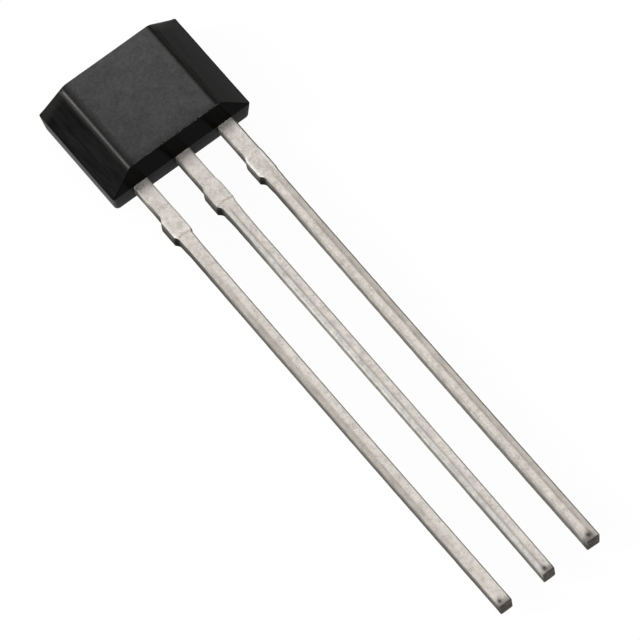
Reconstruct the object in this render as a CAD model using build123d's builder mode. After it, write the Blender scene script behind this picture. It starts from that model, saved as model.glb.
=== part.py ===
"""Magnetic switch: a Hall-effect switch chip in a flat moulded package with three leads in line.

The package lies on its flat back on Z = 0. +Z runs from the back to the narrower front face that
senses the magnet, +X runs across the width, and the leads leave along -Y. The origin is the centre
of the back face. All sizes are in millimetres, and all angles in degrees.
"""

import os
from math import hypot, radians, tan

from build123d import *

os.makedirs("parts", exist_ok=True)

# Moulded package, measured at the parting line where its two halves meet
package_width = 4.14
package_height = 3.06
back_half_depth = 0.71
front_half_depth = 0.73
side_slope = 45.0
lead_end_slope = 11.0
far_end_slope = 8.0
back_draft = 4.5
parting_corner_radius = 0.05
back_corner_radius = 0.13
front_edge_radius = 0.30
end_edge_radius = 0.04
back_edge_radius = 0.11

# Shallow round mark that the mould's ejector pin leaves in the back face
ejector_mark_radius = 0.45
ejector_mark_depth = 0.04
ejector_mark_offset = 0.72

# Leads outside the package, stamped from one flat frame
lead_pitch = 1.27
lead_thickness = 0.40
lead_free_length = 14.36
root_width = 0.415
shank_width = 0.35
tip_roll_radius = 0.085
tip_mark_radius = 0.08
tip_mark_depth = 0.02
tip_mark_inset = 0.16

# Stubs left on both edges of each lead where the tie across the leads was sheared away
stub_start = 1.04
stub_ramp = 0.20
stub_length = 0.50
stub_span = 0.50
stub_relief = 0.15
stub_hollow = 0.018

# Frame inside the package
plastic_wall = 0.35
far_wall = 0.43
frame_gap = 0.30
land_setback = 0.30
land_depth = 0.68
land_corner_radius = 0.06
lock_hole_radius = 0.11
lock_hole_setback = 0.23
pad_width = 1.70
pad_corner_radius = 0.10
tie_bar_width = 0.34
tie_bar_stub = 0.04

# Chip, its adhesive and its bond wires
die_width = 1.10
die_depth = 0.92
die_thickness = 0.25
adhesive_thickness = 0.02
adhesive_margin = 0.06
adhesive_corner_radius = 0.08
wire_radius = 0.015
ball_radius = 0.04
ball_height = 0.02
stitch_length = 0.11
stitch_width = 0.06
stitch_height = 0.012
loop_rise = 0.15
loop_bend = 0.05
loop_shoulder = 0.25
contact_inset = 0.12
contact_spacing = 0.36
stitch_inset = 0.14

# Places that follow from the sizes above
parting_z = back_half_depth
front_z = back_half_depth + front_half_depth
lead_end_y = -package_height / 2
side_inset = front_half_depth * tan(radians(side_slope))
lead_end_inset = front_half_depth * tan(radians(lead_end_slope))
far_end_inset = front_half_depth * tan(radians(far_end_slope))
back_inset = back_half_depth * tan(radians(back_draft))
pad_start = land_setback + land_depth + frame_gap
pad_depth = package_height - pad_start - far_wall
pad_centre_y = lead_end_y + pad_start + pad_depth / 2
adhesive_top_z = parting_z + adhesive_thickness
die_top_z = adhesive_top_z + die_thickness
land_inner = -root_width / 2
land_outer = package_width / 2 - plastic_wall - lead_pitch


def lead_plane(centre_x):
    """Top face of a lead: the origin is where its centre line leaves the package, and -Y runs to its tip."""
    return Plane(origin=(centre_x, lead_end_y, parting_z))


def draw_free_lead():
    """Outline of a lead outside the package, with its two sheared stubs and its square-cut tip."""
    root, stub, shank = root_width / 2, stub_span / 2, shank_width / 2
    stub_top = -(stub_start + stub_ramp)
    stub_end = stub_top - stub_length
    with BuildLine() as outline:
        Polyline((0, 0), (root, 0), (root, -stub_start))
        Spline(
            (root, -stub_start),
            (stub, stub_top),
            tangents=[(0, -1), (0, -1)],
        )
        Line((stub, stub_top), (stub, stub_end))
        SagittaArc((stub, stub_end), (shank, stub_end - stub_relief), -stub_hollow)
        Polyline((shank, stub_end - stub_relief), (shank, -lead_free_length), (0, -lead_free_length))
        mirror(about=Plane.YZ)
    make_face(outline.edges())


def roll_tip(lead):
    """Rounds the upper edge of the tip, where the cutting tool drew the metal down."""
    tip_y = lead_end_y - lead_free_length
    upper = lead.edges().filter_by_position(Axis.Z, parting_z, parting_z)
    fillet(upper.filter_by_position(Axis.Y, tip_y, tip_y), tip_roll_radius)


def mark_tip(centre_x):
    """Presses the small round mark into the top of a lead, just short of its tip."""
    sphere_radius = (tip_mark_radius**2 + tip_mark_depth**2) / (2 * tip_mark_depth)
    mark_y = lead_end_y - lead_free_length + tip_mark_inset
    with Locations((centre_x, mark_y, parting_z + sphere_radius - tip_mark_depth)):
        Sphere(sphere_radius, mode=Mode.SUBTRACT)


def draw_side_land(side):
    """Inner end of a side lead: a neck and a land for its bond wire, with a hole that the plastic fills."""
    middle = (land_inner + land_outer) / 2
    width = land_outer - land_inner
    with Locations((0, (land_setback + land_corner_radius) / 2)):
        Rectangle(root_width, land_setback + land_corner_radius)
    with Locations((side * middle, land_setback + land_depth / 2)):
        RectangleRounded(width, land_depth, land_corner_radius)
    with Locations((side * middle, land_setback + lock_hole_setback)):
        Circle(lock_hole_radius, mode=Mode.SUBTRACT)


def draw_die_pad():
    """Inner end of the ground lead: a neck, the pad that carries the chip, and its tie bar to the far end."""
    with Locations((0, pad_start / 2)):
        Rectangle(root_width, pad_start)
    with Locations((0, pad_start + pad_depth / 2)):
        RectangleRounded(pad_width, pad_depth, pad_corner_radius)
    bar_start = pad_start + pad_depth - pad_corner_radius
    bar_end = package_height + tie_bar_stub
    with Locations((0, (bar_start + bar_end) / 2)):
        Rectangle(tie_bar_width, bar_end - bar_start)


# Three leads, named by what they carry, seen from the front with the leads down: left, middle, right
with BuildPart() as lead_supply:
    with BuildSketch(lead_plane(-lead_pitch)):
        draw_free_lead()
        draw_side_land(-1)
    extrude(amount=-lead_thickness)
    roll_tip(lead_supply)
    mark_tip(-lead_pitch)

with BuildPart() as lead_ground:
    with BuildSketch(lead_plane(0)):
        draw_free_lead()
        draw_die_pad()
    extrude(amount=-lead_thickness)
    roll_tip(lead_ground)
    mark_tip(0)

with BuildPart() as lead_output:
    with BuildSketch(lead_plane(lead_pitch)):
        draw_free_lead()
        draw_side_land(1)
    extrude(amount=-lead_thickness)
    roll_tip(lead_output)
    mark_tip(lead_pitch)

# Silver-filled adhesive under the chip, and the chip itself, centred on the pad
with BuildPart() as die_attach:
    with BuildSketch(Plane((0, pad_centre_y, parting_z))):
        RectangleRounded(
            die_width + 2 * adhesive_margin,
            die_depth + 2 * adhesive_margin,
            adhesive_corner_radius,
        )
    extrude(amount=adhesive_thickness)

with BuildPart() as hall_die:
    with BuildSketch(Plane((0, pad_centre_y, adhesive_top_z))):
        Rectangle(die_width, die_depth)
    extrude(amount=die_thickness)


def bond_wire(contact_x, land_x, land_y):
    """One gold wire: a ball on the chip, a loop, and a flattened stitch on the lead frame."""
    contact_y = pad_centre_y - die_depth / 2 + contact_inset
    span = hypot(land_x - contact_x, land_y - contact_y)
    drop = die_top_z - parting_z
    reach = (land_x - contact_x, land_y - contact_y, 0)
    upright = Plane(
        origin=(contact_x, contact_y, die_top_z),
        x_dir=reach,
        z_dir=Vector(*reach).cross(Vector(0, 0, 1)),
    )
    with BuildPart() as wire:
        with BuildLine(upright):
            Polyline(
                (0, 0),
                (0, loop_rise - loop_bend),
                (loop_bend / 2, loop_rise),
                (loop_shoulder, loop_rise),
                (span, -drop),
            )
        with BuildSketch(Plane((contact_x, contact_y, die_top_z))):
            Circle(wire_radius)
        sweep(transition=Transition.RIGHT)
        with BuildSketch(Plane((contact_x, contact_y, die_top_z))):
            Circle(ball_radius)
        extrude(amount=ball_height)
        with BuildSketch(Plane(origin=(land_x, land_y, parting_z), x_dir=reach)):
            Rectangle(stitch_length, stitch_width)
        extrude(amount=stitch_height)
        split(bisect_by=Plane.XY.offset(parting_z), keep=Keep.TOP)
    return wire.part


land_stitch_x = lead_pitch + (land_inner + land_outer) / 2
land_stitch_y = lead_end_y + land_setback + land_depth - stitch_inset
ground_stitch_y = lead_end_y + pad_start - frame_gap

bond_wires = {
    "bond_wire_supply": bond_wire(-contact_spacing, -land_stitch_x, land_stitch_y),
    "bond_wire_ground": bond_wire(0, 0, ground_stitch_y),
    "bond_wire_output": bond_wire(contact_spacing, land_stitch_x, land_stitch_y),
}

# Front half of the moulding: two sloping sides and two steeper ends, cut to the rounded plan
with BuildPart() as front_half:
    with BuildSketch(Plane.XZ):
        with BuildLine():
            Polyline(
                (-package_width / 2, parting_z),
                (package_width / 2, parting_z),
                (package_width / 2 - side_inset, front_z),
                (side_inset - package_width / 2, front_z),
                close=True,
            )
        make_face()
    extrude(amount=package_height, both=True)
    sloped_edges = front_half.edges().filter_by(Axis.Y).group_by(Axis.Z)[-1]
    fillet(sloped_edges, front_edge_radius)
    with BuildSketch(Plane.YZ) as ends:
        with BuildLine():
            Polyline(
                (-package_height / 2, parting_z),
                (package_height / 2, parting_z),
                (package_height / 2 - far_end_inset, front_z),
                (lead_end_inset - package_height / 2, front_z),
                close=True,
            )
        make_face()
        fillet(ends.vertices().group_by(Axis.Z)[-1], end_edge_radius)
    extrude(amount=package_width, both=True, mode=Mode.INTERSECT)
    with BuildSketch(Plane.XY.offset(parting_z)):
        RectangleRounded(package_width, package_height, parting_corner_radius)
    extrude(amount=front_half_depth, mode=Mode.INTERSECT)

# Whole moulding: the drafted back half under the front half, moulded round everything that it holds
with BuildPart() as moulded_body:
    with BuildSketch(Plane.XY):
        RectangleRounded(
            package_width - 2 * back_inset,
            package_height - 2 * back_inset,
            back_corner_radius,
        )
    with BuildSketch(Plane.XY.offset(parting_z)):
        RectangleRounded(package_width, package_height, parting_corner_radius)
    loft(ruled=True)
    fillet(moulded_body.edges().group_by(Axis.Z)[0], back_edge_radius)
    add(front_half.part)
    with BuildSketch(Plane((0, -ejector_mark_offset, 0))):
        Circle(ejector_mark_radius)
    extrude(amount=ejector_mark_depth, mode=Mode.SUBTRACT)
    for held in (lead_supply, lead_ground, lead_output, die_attach, hall_die):
        add(held.part, mode=Mode.SUBTRACT)
    for wire in bond_wires.values():
        add(wire, mode=Mode.SUBTRACT)

pieces = {
    "moulded_body": moulded_body.part,
    "lead_supply": lead_supply.part,
    "lead_ground": lead_ground.part,
    "lead_output": lead_output.part,
    "die_attach": die_attach.part,
    "hall_die": hall_die.part,
    **bond_wires,
}
for label, piece in pieces.items():
    piece.label = label
    export_step(piece, f"parts/{label}.step")
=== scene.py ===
"""Looks of the magnetic switch: a Hall-effect switch in a flat moulded package with three leads.

The file is laid out as an add-on and is run as a script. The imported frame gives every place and
outer size, and each operator builds one piece, or one group of like pieces, in the frame's own
axes: the package lies on its back on Z = 0, +Z is its sensing face, and the leads run along -Y.
All lengths are in metres.
"""

from math import cos, pi, radians, sin, tan

import bmesh
import bpy
from bpy.props import FloatProperty, FloatVectorProperty, PointerProperty
from mathutils import Matrix, Vector, noise


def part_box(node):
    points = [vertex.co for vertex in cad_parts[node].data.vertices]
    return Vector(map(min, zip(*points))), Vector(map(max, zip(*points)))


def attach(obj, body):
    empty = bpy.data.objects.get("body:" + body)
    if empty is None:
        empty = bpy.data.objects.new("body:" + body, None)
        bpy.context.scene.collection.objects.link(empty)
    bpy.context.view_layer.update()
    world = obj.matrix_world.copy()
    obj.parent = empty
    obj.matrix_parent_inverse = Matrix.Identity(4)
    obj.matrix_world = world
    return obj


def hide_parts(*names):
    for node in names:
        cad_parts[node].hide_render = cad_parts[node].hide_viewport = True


bl_info = {
    "name": "Magnetic switch",
    "version": (1, 0, 0),
    "blender": (4, 5, 0),
    "location": "3D View > Sidebar > Magnetic switch",
    "description": "Dresses the packed frame of a three-lead Hall-effect switch",
    "category": "Object",
}

MM = 0.001
LEADS = ("lead_supply", "lead_ground", "lead_output")
BOND_WIRES = ("bond_wire_supply", "bond_wire_ground", "bond_wire_output")

# Points of the package's rings: round each corner, along each side, along each end
CORNER_STEPS = 5
SIDE_STEPS = 56
END_STEPS = 76
# Rings round the back edge, and round the front edges
BACK_STEPS = 8
FRONT_STEPS = 14
EJECTOR_STEPS = 64
# Distance from a sharp ring to the one that holds it, and how far round it an edge is sharp
SUPPORT = 0.004 * MM
PACKAGE_SHARP_ANGLE = radians(25)
# Least lean along Y of a face that belongs to the package's ends
END_LEAN = 0.35

# Rings along a lead, points round each of its long edges, and cuts across each of its sides
LEAD_RINGS = 420
EDGE_STEPS = 7
SIDE_CUTS = 15
# Shares of the rings that end at the end of the stubs, and at the end of the shank
STUB_RINGS = 0.35
SHANK_RINGS = 0.88
LEAD_SHARP_ANGLE = radians(40)
# How far a lead's drawn length reaches into the package, where it meets its inner end
LEAD_OVERLAP = 0.10 * MM
# Share of a lead's narrowing that comes over a short tail past its stubs
SHORT_TAIL_SHARE = 0.15
MERGE_DISTANCE = 0.0005 * MM
TIP_REACH = 0.01 * MM

# Patterns of the compound and the tin, as repeats in a metre
MOTTLE_SCALE = 13000.0
GRAIN_SCALE = 45000.0
CLOUD_SCALE = 3000.0
COARSE_WOBBLE_SCALE = 2500.0
FINE_WOBBLE_SCALE = 9000.0
TIN_MOTTLE_SCALE = 9000.0
TIN_GRAIN_SCALE = 42000.0
TIN_CLOUD_SCALE = 3500.0
WAVER_SCALE = 900.0
RIPPLE_SCALE = 2200.0
PATCH_SCALE = 2200.0
FRAY_SCALE = 13000.0
# Values that a noise seldom leaves
NOISE_RANGE = (0.3, 0.7)

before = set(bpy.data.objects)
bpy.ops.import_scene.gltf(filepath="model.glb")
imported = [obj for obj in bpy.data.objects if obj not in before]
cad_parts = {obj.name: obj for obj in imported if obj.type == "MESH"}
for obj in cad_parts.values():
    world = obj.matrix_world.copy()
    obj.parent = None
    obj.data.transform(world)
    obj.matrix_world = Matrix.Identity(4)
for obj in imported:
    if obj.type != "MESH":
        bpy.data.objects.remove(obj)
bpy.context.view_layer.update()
package_low, package_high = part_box("moulded_body")
lead_low, lead_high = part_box("lead_supply")


# ---------------------------------------------------------------- settings


def length(name, default, description):
    """A property that holds a length."""
    return FloatProperty(
        name=name,
        description=description,
        default=default,
        min=0.0,
        precision=6,
        subtype="DISTANCE",
        unit="LENGTH",
    )


def angle(name, default, description):
    """A property that holds an angle, given here in degrees."""
    return FloatProperty(
        name=name,
        description=description,
        default=radians(default),
        subtype="ANGLE",
        unit="ROTATION",
    )


def colour(name, default, description):
    """A property that holds a linear RGB colour."""
    return FloatVectorProperty(
        name=name,
        description=description,
        default=default,
        min=0.0,
        max=1.0,
        size=3,
        subtype="COLOR",
    )


class MouldingSettings(bpy.types.PropertyGroup):
    """Sizes and colours of the moulded package."""

    parting_height: length(
        "Parting height", lead_high.z, "Height of the line where the halves of the mould met"
    )
    side_slope: angle("Side slope", 45, "Lean of the two long sides of the front half")
    end_slope: angle("End slope", 11, "Lean of the end that the leads leave")
    far_end_slope: angle("Far end slope", 8, "Lean of the end away from the leads")
    back_draft: angle("Back draft", 4.5, "Draft of the walls of the back half")
    parting_corner: length("Parting corner", 0.05 * MM, "Upright corners at the parting line")
    back_corner: length("Back corner", 0.12 * MM, "Upright corners at the back face")
    mitre_radius: length("Mitre radius", 0.02 * MM, "Edges between the slopes at the lead end")
    far_mitre: length("Far mitre radius", 0.09 * MM, "Edges between the slopes at the far end")
    front_edge_radius: length("Front edge radius", 0.30 * MM, "Long edges of the front face")
    end_edge_radius: length("End edge radius", 0.03 * MM, "Short edges of the front face")
    back_edge_radius: length("Back edge radius", 0.15 * MM, "Edges round the back face")
    edge_wobble: length("Edge wobble", 0.006 * MM, "How far the edges of the mould wander")
    ejector_radius: length("Ejector radius", 0.45 * MM, "Round mark of the ejector pin")
    ejector_depth: length("Ejector depth", 0.04 * MM, "Depth of the ejector mark")
    ejector_offset: length("Ejector offset", 0.72 * MM, "From the middle towards the leads")
    face_colour: colour("Face colour", (0.055, 0.055, 0.055), "Frosted front face")
    side_colour: colour("Side colour", (0.002, 0.002, 0.002), "Drawn slopes of the long sides")
    # Painted highlights and sheen along the long edges and the right slope
    painted_highlight_colour: colour("Worn colour", (0.0110, 0.0104, 0.0098), "Rubbed edges of the long sides")
    end_colour: colour("End colour", (0.0025, 0.0025, 0.0024), "Polished slopes of the ends")
    back_colour: colour("Back colour", (0.020, 0.020, 0.0195), "Walls and back of the back half")


class LeadSettings(bpy.types.PropertyGroup):
    """Sizes and colours of the tinned leads."""

    root_width: length("Root width", 0.405 * MM, "Width where a lead leaves the package")
    shank_width: length("Shank width", 0.355 * MM, "Width from the stubs to the tip")
    stub_span: length("Stub span", 0.508 * MM, "Width over the two sheared stubs")
    stub_start: length("Stub start", 1.04 * MM, "Distance from the package to the stubs")
    stub_ramp: length("Stub ramp", 0.20 * MM, "Length over which a lead widens to its stubs")
    stub_length: length("Stub length", 0.50 * MM, "Length of the full width of the stubs")
    stub_relief: length("Stub relief", 0.15 * MM, "Length of the hollow that ends the stubs")
    edge_radius: length("Edge radius", 0.022 * MM, "Radius of the long edges of a lead")
    tip_roll: length("Tip roll", 0.062 * MM, "Radius of the upper edge of a tip")
    ripple: length("Ripple", 0.009 * MM, "How far the long edges of a lead wander")
    mark_depth: length("Mark depth", 0.02 * MM, "Depth of the dot pressed near a tip")
    tin_colour: colour("Tin colour", (0.64, 0.60, 0.555), "Clean matte tin")
    # Cooler tin left of the crease: rubbed by the tool, and a painted reflection of its tilted
    # facet
    cool_colour: colour("Cool tin colour", (0.60, 0.59, 0.565), "Tin that the tool has rubbed")
    # Tin burnished by the shear, and painted glints on the stubs
    burnish_and_glint_colour: colour("Bright colour", (0.86, 0.85, 0.81), "Tin burnished by the shear")
    # Tarnish, and the painted shade in the crease, on the rolled edge and along the step
    tarnish_and_shade_colour: colour("Tarnish colour", (0.32, 0.285, 0.245), "Tin with a thin film on it")
    # The punched flanks are darker than the tin partly as painted shade
    flank_colour: colour("Flank colour", (0.34, 0.325, 0.295), "Upper half of a punched flank")
    torn_colour: colour("Torn colour", (0.11, 0.105, 0.095), "Lower half of a punched flank")
    # Darker along the right edge of each lead
    rim_colour: colour("Rim colour", (0.06, 0.052, 0.044), "Edge on the burr side of a lead")
    # Tin dulled near the tip, and painted shade on its rolled edge
    dull_and_shade_colour: colour("Dull colour", (0.20, 0.18, 0.155), "Tin dulled beside a cut tip")
    # Bare metal of a cut tip, darkened with painted shade
    cut_tip_and_shade_colour: colour("Tip colour", (0.115, 0.103, 0.09), "Bare metal of a cut tip")
    mark_colour: colour("Mark colour", (0.05, 0.045, 0.04), "Dot pressed near a tip")


class ChipSettings(bpy.types.PropertyGroup):
    """Colours of the pieces that the package hides."""

    silicon_colour: colour("Silicon colour", (0.10, 0.11, 0.14), "Chip")
    adhesive_colour: colour("Adhesive colour", (0.42, 0.41, 0.39), "Silver-filled adhesive")
    gold_colour: colour("Gold colour", (0.95, 0.66, 0.27), "Bond wires")


class StageSettings(bpy.types.PropertyGroup):
    """Floor, lights and camera."""

    floor_size: length("Floor size", 3.0, "Side of the square floor")
    floor_colour: colour("Floor colour", (0.93, 0.93, 0.93), "Plain pale floor")
    lens: FloatProperty(
        name="Lens",
        description="Focal length in millimetres",
        default=429.2,
        min=1.0,
        unit="CAMERA",
    )
    camera_distance: length("Camera distance", 181.8 * MM, "From the camera to where it aims")
    camera_azimuth: angle("Camera azimuth", -27.17, "Turn of the camera round the part")
    camera_elevation: angle("Camera elevation", 63.243, "Height of the camera above the floor")
    camera_roll: angle("Camera roll", -11.349, "Turn of the camera about its own axis")


# ---------------------------------------------------------------- node helpers


class Field:
    """A value that varies from point to point. Its operators add Math nodes to its tree."""

    def __init__(self, nodes, socket):
        self.nodes, self.socket = nodes, socket

    def __add__(self, other):
        return self.nodes.math("ADD", self, other)

    def __sub__(self, other):
        return self.nodes.math("SUBTRACT", self, other)

    def __rsub__(self, other):
        return self.nodes.math("SUBTRACT", other, self)

    def __mul__(self, other):
        return self.nodes.math("MULTIPLY", self, other)

    def __truediv__(self, other):
        return self.nodes.math("DIVIDE", self, other)

    def __neg__(self):
        return self * -1.0

    def __abs__(self):
        return self.nodes.math("ABSOLUTE", self)

    __radd__ = __add__
    __rmul__ = __mul__


class Nodes:
    """Adds nodes to one tree."""

    def __init__(self, tree):
        self.tree = tree

    def add(self, kind, values=(), **settings):
        """Adds a node. A value that is a field is linked, and any other is set on its input."""
        node = self.tree.nodes.new(kind)
        for name, value in settings.items():
            setattr(node, name, value)
        pairs = values.items() if isinstance(values, dict) else enumerate(values)
        for key, value in pairs:
            if isinstance(value, Field):
                self.tree.links.new(value.socket, node.inputs[key])
            else:
                node.inputs[key].default_value = value
        return node

    def field(self, kind, values=(), output=0, **settings):
        """Adds a node, and gives one of its outputs as a field."""
        return Field(self, self.add(kind, values, **settings).outputs[output])

    def math(self, operation, *values):
        return self.field("ShaderNodeMath", values, operation=operation)

    def at_least_zero(self, value):
        return self.math("MAXIMUM", value, 0.0)

    def at_most_one(self, value):
        return self.math("MINIMUM", value, 1.0)

    def span(self, value, start, end, low=0.0, high=1.0, interpolation="LINEAR"):
        """Maps start..end to low..high, and holds it there outside."""
        sockets = {"Value": value, 1: start, 2: end, 3: low, 4: high}
        return self.field("ShaderNodeMapRange", sockets, interpolation_type=interpolation)

    def vary(self, noise_value, low, high):
        """Maps the usual range of a noise to low..high."""
        return self.span(noise_value, *NOISE_RANGE, low, high)

    def ease(self, value, start, end):
        """0 before start, 1 after end, and a smooth rise between them."""
        return self.span(value, start, end, interpolation="SMOOTHSTEP")

    def bell(self, value, width):
        """1 where value is 0, falling off over that width on both sides."""
        share = value / width
        return self.math("EXPONENT", -(share * share))

    def split(self, vector):
        node = self.add("ShaderNodeSeparateXYZ", [vector])
        return [Field(self, output) for output in node.outputs]

    def join(self, x, y, z):
        return self.field("ShaderNodeCombineXYZ", [x, y, z])

    def noise(self, vector, scale, detail=2.0, roughness=0.5):
        sockets = {"Vector": vector, "Scale": scale, "Detail": detail, "Roughness": roughness}
        return self.field("ShaderNodeTexNoise", sockets)

    def blend(self, factor, first, second, kind="MIX"):
        """Mixes two colours."""
        sockets = {0: factor, 6: first, 7: second}
        return self.field("ShaderNodeMix", sockets, 2, data_type="RGBA", blend_type=kind)

    def shaded(self, base, shade):
        """The colour multiplied by a shade."""
        return self.blend(1.0, base, shade, "MULTIPLY")


class Finish(Nodes):
    """Nodes of one material, which start from its shader and from the place on the piece."""

    def __init__(self, name):
        self.material = bpy.data.materials.new(name)
        self.material.use_nodes = True
        super().__init__(self.material.node_tree)
        self.shader = self.tree.nodes["Principled BSDF"]
        self.place = self.field("ShaderNodeTexCoord", output="Object")
        self.x, self.y, self.z = self.split(self.place)

    def lines(self, along, across, roughness):
        """Noise drawn out into lines along the part's length."""
        drawn = self.join(self.x * across, self.y * along, self.z * across)
        return self.noise(drawn, 1.0, detail=4.0, roughness=roughness)

    def linked(self, base, roughness, height, strength, distance):
        """Links the colour, the gloss and a fine relief, and gives the material."""
        relief = {"Strength": strength, "Distance": distance, "Height": height}
        normal = self.field("ShaderNodeBump", relief)
        for name, field in (("Base Color", base), ("Roughness", roughness), ("Normal", normal)):
            self.tree.links.new(field.socket, self.shader.inputs[name])
        return self.material


def rgba(colour_value):
    return (*colour_value, 1.0)


def mesh_object(name, mesh, material=None):
    """A new object at the origin that shows the mesh."""
    piece = bpy.data.objects.new(name, mesh)
    bpy.context.scene.collection.objects.link(piece)
    if material:
        mesh.materials.clear()
        mesh.materials.append(material)
    return piece


def grown(piece, tree, values):
    """Runs a Geometry Nodes tree on the piece, and swaps its mesh for the plain result."""
    modifier = piece.modifiers.new(tree.name, "NODES")
    modifier.node_group = tree
    for socket in tree.interface.items_tree:
        if socket.in_out == "INPUT" and socket.name in values:
            modifier[socket.identifier] = values[socket.name]
    bpy.context.view_layer.update()
    evaluated = piece.evaluated_get(bpy.context.evaluated_depsgraph_get())
    mesh = bpy.data.meshes.new_from_object(evaluated)
    piece.modifiers.remove(modifier)
    piece.data = mesh
    mesh.name = piece.name
    return piece


# ---------------------------------------------------------------- moulding


def ring(half_width, near, far, near_radius, far_radius, z):
    """Points of a rounded rectangle at height z, from Y = near to Y = far, anticlockwise."""
    corners = (
        (1, near, 1, near_radius),
        (1, far, -1, far_radius),
        (-1, far, -1, far_radius),
        (-1, near, 1, near_radius),
    )
    points = []
    for quarter, (across, end, inward, radius) in enumerate(corners):
        start = (quarter - 1) * pi / 2
        for step in range(CORNER_STEPS + 1):
            turn = start + step / CORNER_STEPS * pi / 2
            x = across * (half_width - radius) + radius * cos(turn)
            points.append(Vector((x, end + inward * radius + radius * sin(turn), z)))
        # Points along the straight side that follows this corner
        outward = Vector((cos(start + pi / 2), sin(start + pi / 2), 0.0))
        next_across, next_end, next_inward, next_radius = corners[(quarter + 1) % 4]
        last = outward * next_radius + Vector(
            (next_across * (half_width - next_radius), next_end + next_inward * next_radius, z)
        )
        first = points[-1]
        count = END_STEPS if quarter % 2 else SIDE_STEPS
        points += [first.lerp(last, step / count) for step in range(1, count)]
    return points


def wobbled(point, amount):
    """The point moved in by up to that amount, along the part's outline."""
    outward = Vector((point.x, point.y, 0.0)).normalized()
    coarse = noise.noise(point * COARSE_WOBBLE_SCALE)
    fine = noise.noise(point * FINE_WOBBLE_SCALE)
    return point - outward * amount * max(0.4 + 0.5 * coarse + 0.3 * fine, 0.0)


def moulding_rings(sizes):
    """Rings of the package from its back face up: half width, ends, corners, height, wobble."""
    # The tie bar's cut end stands proud of the far end, so the depth comes from the lead side
    half_width, half_depth = package_high.x, -package_low.y
    parting, front = sizes.parting_height, package_high.z
    rings = []

    draft = tan(sizes.back_draft)
    back = sizes.back_edge_radius
    turn_end = pi / 2 - sizes.back_draft
    fillet_top = back * (1 - cos(turn_end))

    def back_ring(z, inset, wobble=0.0):
        share = z / parting
        corner = sizes.back_corner + (sizes.parting_corner - sizes.back_corner) * share
        depth = half_depth - inset
        rings.append((half_width - inset, -depth, depth, corner, corner, z, wobble))

    for step in range(BACK_STEPS + 1):
        turn = turn_end * step / BACK_STEPS
        inset = draft * (parting - fillet_top) + back * (sin(turn_end) - sin(turn))
        back_ring(back * (1 - cos(turn)), inset)
    for z in (fillet_top + SUPPORT, parting - 4 * SUPPORT):
        back_ring(z, draft * (parting - z))
    back_ring(parting - SUPPORT, draft * SUPPORT, sizes.edge_wobble)
    back_ring(parting, 0.0, sizes.edge_wobble)

    side = tan(sizes.side_slope)
    near_end, far_end = tan(sizes.end_slope), tan(sizes.far_end_slope)
    mitre_fade = 0.10 * MM

    def slope_ring(z, wobble=0.0):
        rise = z - parting
        share = min(rise / mitre_fade, 1.0)
        corner = sizes.parting_corner + (sizes.mitre_radius - sizes.parting_corner) * share
        far_corner = sizes.parting_corner + (sizes.far_mitre - sizes.parting_corner) * share
        near, far = rise * near_end - half_depth, half_depth - rise * far_end
        rings.append((half_width - rise * side, near, far, corner, far_corner, z, wobble))

    side_turn = sizes.side_slope
    end_turn = pi / 2 - sizes.end_slope
    fillet_start = front - sizes.front_edge_radius * (1 - cos(side_turn))
    slope_ring(parting + SUPPORT, sizes.edge_wobble)
    for share in (0.25, 0.5, 1.0):
        slope_ring(parting + share * mitre_fade)
    slope_ring(fillet_start - SUPPORT)
    # The front edges turn from their slopes to the flat over the same rings
    rise = front - parting
    flat_x = half_width - rise * side - sizes.front_edge_radius * tan(side_turn / 2)
    end_cut = sizes.end_edge_radius * tan(end_turn / 2)
    end_depth = sizes.end_edge_radius * (1 - cos(end_turn))
    for step in range(FRONT_STEPS + 1):
        turn = side_turn * (1 - step / FRONT_STEPS)
        drop = sizes.front_edge_radius * (1 - cos(turn))
        x = flat_x + sizes.front_edge_radius * sin(turn)
        near, far = (rise - drop) * near_end, (rise - drop) * far_end
        wobble = 0.0
        if drop < end_depth:
            turn_cos = 1 - drop / sizes.end_edge_radius
            gained = end_cut - sizes.end_edge_radius * (1 - turn_cos**2) ** 0.5
            near, far = rise * near_end + gained, rise * far_end + gained
            wobble = sizes.edge_wobble
        ends = (near - half_depth, half_depth - far)
        rings.append((x, *ends, sizes.mitre_radius, sizes.far_mitre, front - drop, wobble))
    return rings


def moulded_shell(sizes):
    """The package as one closed shell, with the ejector pin's mark pressed into its back."""
    bm = bmesh.new()
    loops = []
    for *shape, wobble in moulding_rings(sizes):
        points = ring(*shape)
        if wobble:
            points = [wobbled(point, wobble) for point in points]
        loops.append([bm.verts.new(point) for point in points])
    join_loops(bm, loops)
    bm.faces.new(loops[-1])

    # Mark: its lip, wall and floor, from the back face inwards, as insets and shares of depth
    lip, wall = 0.015 * MM, 0.006 * MM
    steps = ((0.0, 0.0), (0.3 * lip, 0.1), (lip, 0.5), (lip + wall, 1.0), (lip + 4 * wall, 1.0))
    mark = []
    turns = [2 * pi * step / EJECTOR_STEPS for step in range(EJECTOR_STEPS)]
    for inset, sunk in steps:
        radius, depth = sizes.ejector_radius - inset, sunk * sizes.ejector_depth
        places = [(radius * cos(t), radius * sin(t) - sizes.ejector_offset, depth) for t in turns]
        mark.append([bm.verts.new(place) for place in places])
    join_loops(bm, mark)
    bm.faces.new(mark[-1])
    rim = [
        bm.edges.get((loop[i - 1], loop[i]))
        for loop in (loops[0], mark[0])
        for i in range(len(loop))
    ]
    bmesh.ops.triangle_fill(bm, use_beauty=True, edges=rim)
    bmesh.ops.recalc_face_normals(bm, faces=bm.faces)
    finish_shading(bm, PACKAGE_SHARP_ANGLE)
    return bm


def join_loops(bm, loops):
    """Faces between each loop of points and the next."""
    for lower, upper in zip(loops, loops[1:]):
        for i in range(len(lower)):
            bm.faces.new((lower[i - 1], lower[i], upper[i], upper[i - 1]))


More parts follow.
